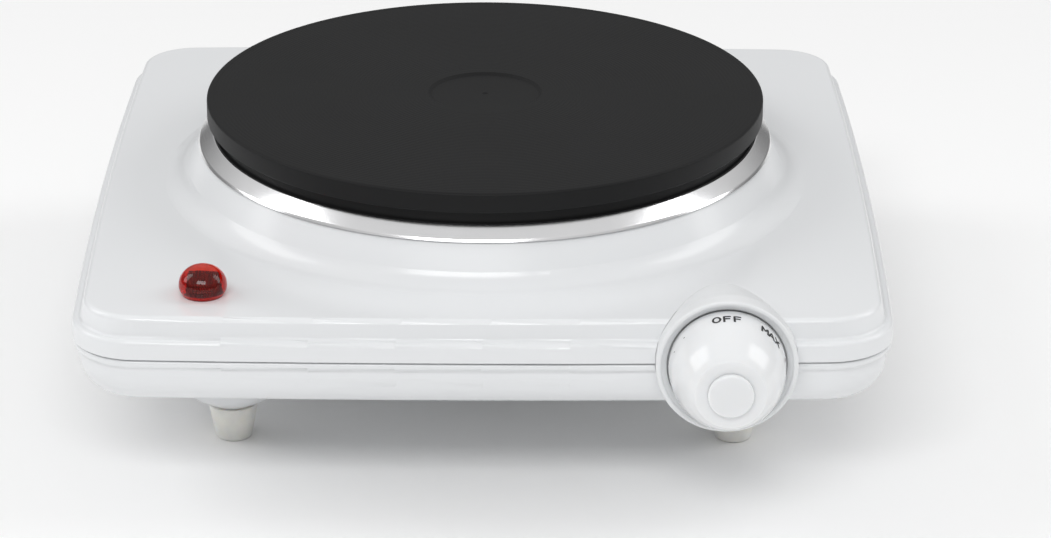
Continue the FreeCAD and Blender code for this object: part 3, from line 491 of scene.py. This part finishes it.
def flank_radius(reach):
    """Radius of the knob at a distance in front of the bezel's rim."""
    for (r0, h0), (r1, h1) in zip(SMOOTH_FLANK, SMOOTH_FLANK[1:]):
        if h0 <= reach <= h1:
            return r0 + (r1 - r0) * (reach - h0) / (h1 - h0)
    return FLANK[-1][0]


def knob_profile():
    """From the hub at the back round the hollow skirt, up the flank, and in to the cap's socket."""
    flank = [Vector((r, -h)) for r, h in SMOOTH_FLANK]
    front = rounded([flank[-2], (FACE_R, -KNOB_FRONT, 0.8), (6.3, -KNOB_FRONT)], 5)
    socket = [Vector(p) for p in ((2.5, -KNOB_FRONT), (2.5, -14.6), (0, -14.6))]
    rear = rounded([
        (0, -1.0), (5.2, -1.0, 0.2), (5.2, -8.0, 0.4), (11.8, -8.0, 0.8), (13.0, 2.0, 0.3),
        (KNOB_R, 2.0, 0.4), (KNOB_R, 0.0),
    ])
    return rear + flank[1:-2] + front + socket


knob = lathe("knob_moulding", knob_profile(), KNOB, along="Y")
finished(knob, "dial", "knob_plastic", "knob")

CAP = rounded([(0, -KNOB_FRONT), (CAP_R, -KNOB_FRONT), (CAP_R, -CAP_FRONT, 0.7), (3.2, -CAP_FRONT),
               (0, -CAP_FRONT)], 7)
cap = lathe("knob_cap_disc", CAP, KNOB, along="Y", segments=160)
finished(cap, "dial", "knob_plastic", "knob_cap")


# ---------------------------------------------------------------- printing on the knob
INK = print_black()
INK_FILM = 0.02               # thickness of a stroke
INK_CLEAR = 0.035             # its back above the knob's surface, so that they don't touch
STROKE = 0.58                 # width of a letter's strokes
HALF = 1.25                   # half height of a letter
MARKS_AT = 2.9                # distance of the marks' middle in front of the bezel's rim
TICK_AT = 77                  # degrees clockwise from the top, as for the dots
DOTS_AT = (-50, -68, 112, 142, 172, 202, 232, 262)


def on_flank(verts, centre_deg):
    """Wrap flat verts (x to the right, y towards the rear, mm) round the knob's flank."""
    for v in verts:
        x, y, proud = v.co
        h = MARKS_AT - y
        r = flank_radius(h) + INK_CLEAR + proud
        a = math.radians(90 - centre_deg) - x / r
        v.co = KNOB + Vector((r * math.cos(a), -h, r * math.sin(a)))


def divided(points, longest=0.35):
    """Polyline cut into lengths short enough to follow the flank."""
    points = [Vector(p) for p in points]
    fine = [points[0]]
    for a, b in zip(points, points[1:]):
        n = max(1, math.ceil((b - a).length / longest))
        fine += [a.lerp(b, k / n) for k in range(1, n + 1)]
    return fine


def strokes(name, lines, width, centre_deg):
    """Printed strokes: each line is a polyline of (x, y) in mm."""
    section = ((-1, 0), (-1, INK_FILM), (1, INK_FILM), (1, 0))
    bm = bmesh.new()
    for line in lines:
        fine = divided(line)
        sides = []
        for i, p in enumerate(fine):
            before, after = fine[max(i - 1, 0)], fine[min(i + 1, len(fine) - 1)]
            run = (after - before).normalized()
            off = Vector((-run.y, run.x)) * width / 2
            if i == 0:
                p = p - run * width / 2
            if i == len(fine) - 1:
                p = p + run * width / 2
            sides.append([bm.verts.new((p.x + side * off.x, p.y + side * off.y, h)) for side, h in section])
        for one, two in zip(sides, sides[1:]):
            for k in range(4):
                bm.faces.new((one[k], one[(k + 1) % 4], two[(k + 1) % 4], two[k]))
        bm.faces.new(sides[0])
        bm.faces.new(list(reversed(sides[-1])))
    on_flank(bm.verts, centre_deg)
    finished(mesh_object(name, bm), "dial", "knob_plastic", look=INK)


def oval(half_width, half_height, n=28):
    """Closed loop of n lengths."""
    angles = [2 * math.pi * k / n for k in range(n + 1)]
    return [(half_width * math.cos(a), half_height * math.sin(a)) for a in angles]


LETTERS = {
    "O": [oval(1.0, HALF)],
    "F": [[(-0.75, -HALF), (-0.75, HALF), (0.8, HALF)], [(-0.75, 0.1), (0.6, 0.1)]],
    "M": [[(-1.0, -HALF), (-1.0, HALF), (0, -0.45), (1.0, HALF), (1.0, -HALF)]],
    "A": [[(-1.0, -HALF), (0, HALF), (1.0, -HALF)], [(-0.62, -0.45), (0.62, -0.45)]],
    "X": [[(-0.85, -HALF), (0.85, HALF)], [(-0.85, HALF), (0.85, -HALF)]],
}


def word(name, text, spacing, centre_deg):
    """Word whose middle is centre_deg clockwise from the top of the knob."""
    lines = []
    for i, letter in enumerate(text):
        at = (i - (len(text) - 1) / 2) * spacing
        lines += [[(x + at, y) for x, y in line] for line in LETTERS[letter]]
    strokes(name, lines, STROKE, centre_deg)


word("print_off", "OFF", 2.8, -2.5)
word("print_max", "MAX", 2.45, 47)
strokes("print_tick_start", [[(0, -0.9), (0, 0.9)]], 0.36, TICK_AT)
for index, degrees in enumerate(DOTS_AT):
    strokes(f"print_dot_{index}", [[(-0.1, 0), (0.1, 0)]], 0.3, degrees)


# ---------------------------------------------------------------- pilot lamp
LENS_RISE = 8.4
LENS_STEM_R, LENS_STEM_DEPTH = 5.0, 11.5
LENS_OUTSIDE = [(5.65, 0), (6.45, 1.5), (6.65, 2.9), (6.25, 4.8), (4.95, 6.65), (3.3, 7.76),
                (1.5, LENS_RISE)]
BLOCK_HALF, BLOCK_HEIGHT, STUD = 2.7, 3.4, 0.25


def lens():
    """Clear red lens, bulbous over a narrower foot, with its stem through the panel."""
    stem = [Vector(p) for p in ((0, -LENS_STEM_DEPTH), (LENS_STEM_R, -LENS_STEM_DEPTH), (LENS_STEM_R, 0))]
    outline = stem + spline(LENS_OUTSIDE, 5) + [Vector((0, LENS_RISE))]
    dome = lathe("lens_dome", outline, LAMP, segments=96, sharp=45)
    finished(dome, "housing", "red_lens", "pilot_lens")


def lens_tray():
    """Shallow bright tray seen through the lens."""
    outline = [Vector(p) for p in ((0, 0.1), (5.3, 0.1), (5.9, 1.2), (5.7, 1.2), (5.1, 0.25), (0, 0.25))]
    tray = lathe("lens_tray", outline, LAMP, segments=64)
    finished(tray, "housing", "red_lens", look=tray_orange())


def studded(bm, origin, across, upward, size, rows):
    """Flat of small pyramids: `across` and `upward` are its unit edges, `size` its two lengths."""
    out = across.cross(upward)
    step_across, step_up = across * size[0] / rows[0], upward * size[1] / rows[1]
    for i in range(rows[0]):
        for j in range(rows[1]):
            corner = origin + step_across * i + step_up * j
            ring = [bm.verts.new(corner + step_across * a + step_up * b)
                    for a, b in ((0, 0), (1, 0), (1, 1), (0, 1))]
            tip = bm.verts.new(corner + step_across / 2 + step_up / 2 + out * STUD)
            for k in range(4):
                bm.faces.new((ring[k], ring[(k + 1) % 4], tip))


def prism_block():
    """Dark block of small prisms that stands in the tray."""
    bm = bmesh.new()
    wide = 2 * BLOCK_HALF
    base = LAMP + Vector((0, 0, 0.3))
    x, y, z = Vector((1, 0, 0)), Vector((0, 1, 0)), Vector((0, 0, 1))
    studded(bm, base - (x + y) * BLOCK_HALF + z * BLOCK_HEIGHT, x, y, (wide, wide), (8, 8))
    for along, out in ((x, -y), (y, x), (-x, y), (-y, -x)):
        studded(bm, base + (out - along) * BLOCK_HALF, along, z, (wide, BLOCK_HEIGHT), (8, 4))
    finished(mesh_object("lens_prism_block", bm, 20), "housing", "red_lens", look=prism_dark())


lens()
lens_tray()
prism_block()


# ---------------------------------------------------------------- rubber feet
FOOT_X, FOOT_Y = 71.7, 61.5              # from the middle of the body
FOOT_HEIGHT, FOOT_TOP_R, FOOT_SOLE_R = 10.6, 7.1, 5.15
SCREW_R, HEAD_R, HEAD_DEPTH = 1.8, 3.3, 4.0     # bore for the screw and the pocket for its head


def feet():
    """Four tapered feet with a pocket for a screw."""
    outline = rounded([
        (SCREW_R, HEAD_DEPTH), (HEAD_R, HEAD_DEPTH), (HEAD_R, 0, 0.2), (FOOT_SOLE_R, 0, 0.8),
        (FOOT_TOP_R, FOOT_HEIGHT, 0.3), (SCREW_R, FOOT_HEIGHT), (SCREW_R, HEAD_DEPTH),
    ], 7)
    bm = bmesh.new()
    for sx in (-1, 1):
        for sy in (-1, 1):
            lathe_into(bm, outline, Vector((sx * FOOT_X, SHIFT + sy * FOOT_Y, 0)), segments=96)
    finished(mesh_object("feet_moulded", bm, 40), "housing", "foot_rubber", "rubber_feet")


feet()


# ---------------------------------------------------------------- stage, light, camera
FLOOR_HALF = 3000


def stage_floor():
    """Plain white floor, three metres each way."""
    bm = bmesh.new()
    for sx, sy in ((-1, -1), (1, -1), (1, 1), (-1, 1)):
        bm.verts.new((sx * FLOOR_HALF, sy * FLOOR_HALF, 0))
    bm.faces.new(bm.verts)
    floor = mesh_object("floor", bm)
    look = Look("floor_white", (0.97, 0.97, 0.97), 0.75)
    floor.data.materials.append(look.material)


stage_floor()


def studio_dome():
    """Soft white surround, bright overhead and dimmer towards the horizon."""
    world = bpy.data.worlds.new("studio")
    bpy.context.scene.world = world
    world.use_nodes = True
    tree = world.node_tree
    coords = tree.nodes.new("ShaderNodeTexCoord")
    split = tree.nodes.new("ShaderNodeSeparateXYZ")
    ramp = tree.nodes.new("ShaderNodeMapRange")
    ramp.interpolation_type = "SMOOTHSTEP"
    for name, value in (("From Min", 0.0), ("From Max", 0.7), ("To Min", 0.17), ("To Max", 0.66)):
        ramp.inputs[name].default_value = value
    tree.links.new(coords.outputs["Generated"], split.inputs[0])
    tree.links.new(split.outputs["Z"], ramp.inputs["Value"])
    tree.links.new(ramp.outputs["Result"], tree.nodes["Background"].inputs["Strength"])
    tree.nodes["Background"].inputs["Color"].default_value = (1.0, 1.0, 1.0, 1.0)


studio_dome()


def soft_light(name, at, aim, size, watts):
    """Rectangular white light; places and sizes are metres."""
    data = bpy.data.lights.new(name, "AREA")
    data.shape = "RECTANGLE"
    data.size, data.size_y = size
    data.energy = watts
    light = bpy.data.objects.new(name, data)
    bpy.context.scene.collection.objects.link(light)
    light.location = at
    light.rotation_euler = (Vector(aim) - Vector(at)).to_track_quat("-Z", "Y").to_euler()


soft_light("fill_front", (-0.2, -1.35, 1.35), (0, 0, 0.05), (1.2, 0.5), 12)
for name, side in (("side_left", -1), ("side_right", 1)):
    soft_light(name, (side * 1.19, 0.17, 0.84), (0, 0, 0.06), (0.55, 1.0), 4.4)


CAMERA_AT = Vector((12.129, -1038.863, 464.317))      # from the middle of the body, before the yaw
TILT, YAW, ROLL = 22.881, 0.290, -0.292               # degrees
LENS_MM, SENSOR_MM = 128.727, 36.0


def place_camera():
    """Long lens from the front, 22.9 degrees down, a little right of the middle."""
    tilt, yaw, roll = math.radians(TILT), math.radians(YAW), math.radians(ROLL)
    right = Vector((1, 0, 0))
    up = Vector((0, math.sin(tilt), math.cos(tilt)))
    ahead = Vector((0, math.cos(tilt), -math.sin(tilt)))
    c, s = math.cos(roll), math.sin(roll)
    axes = Matrix((right * c - up * s, right * s + up * c, -ahead)).transposed()
    unturn = Matrix.Rotation(-yaw, 3, "Z")
    camera = bpy.data.objects.new("camera", bpy.data.cameras.new("camera"))
    bpy.context.scene.collection.objects.link(camera)
    at = unturn @ CAMERA_AT + Vector((0, SHIFT, 0))
    camera.matrix_world = Matrix.Translation(at * MM) @ (unturn @ axes).to_4x4()
    camera.data.sensor_width = SENSOR_MM
    camera.data.lens = LENS_MM
    camera.data.clip_start = 0.01
    camera.data.clip_end = 20.0
    bpy.context.scene.camera = camera


place_camera()
bpy.context.scene.view_settings.view_transform = "Standard"
bpy.context.scene.view_settings.look = "None"
